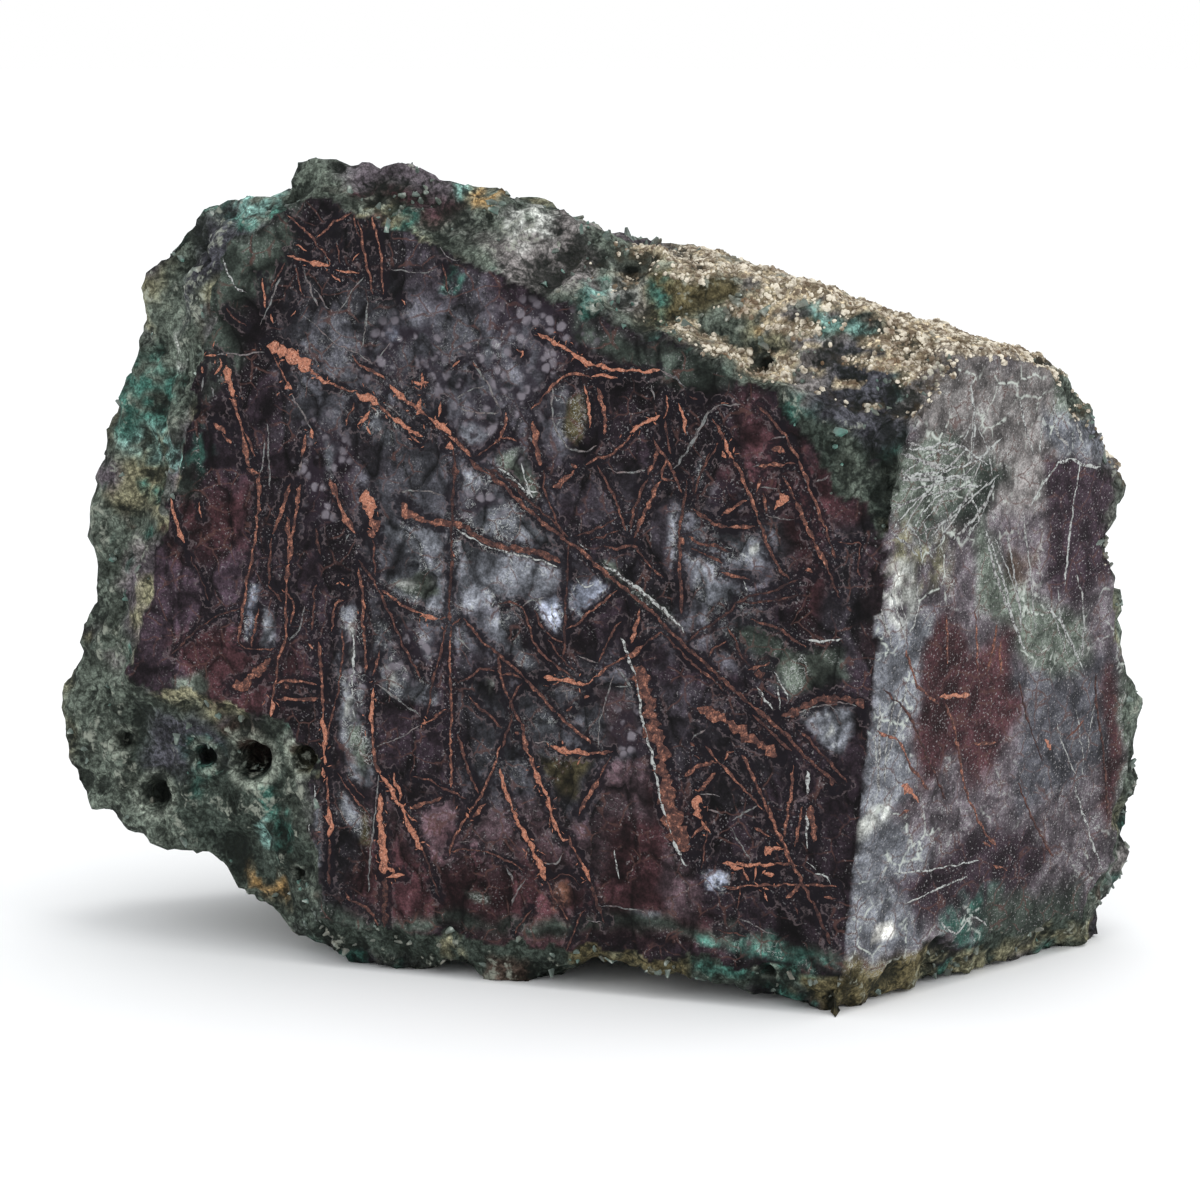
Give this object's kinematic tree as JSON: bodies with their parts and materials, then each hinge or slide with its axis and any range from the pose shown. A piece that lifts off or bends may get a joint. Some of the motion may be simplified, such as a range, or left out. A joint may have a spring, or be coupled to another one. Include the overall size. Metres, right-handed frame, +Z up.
{
  "type": "mineral specimen",
  "caption": "Sawn and polished block of chrysocolla-rimmed copper ore, dark chalcedony laced with native copper veins, for display.",
  "frame": {"origin": "on the ground, under the middle of the stone's bounding box", "axes": "+Z up, +X along the longest side with the sawn side at its +X end, -Y towards the polished face"},
  "size_m": [0.1285, 0.0684, 0.0913],
  "materials": {
    "stone": "polished on the main face, sawn on the next, broken elsewhere"
  },
  "bodies": {
    "root": {"stone": "stone"}
  },
  "joints": []
}
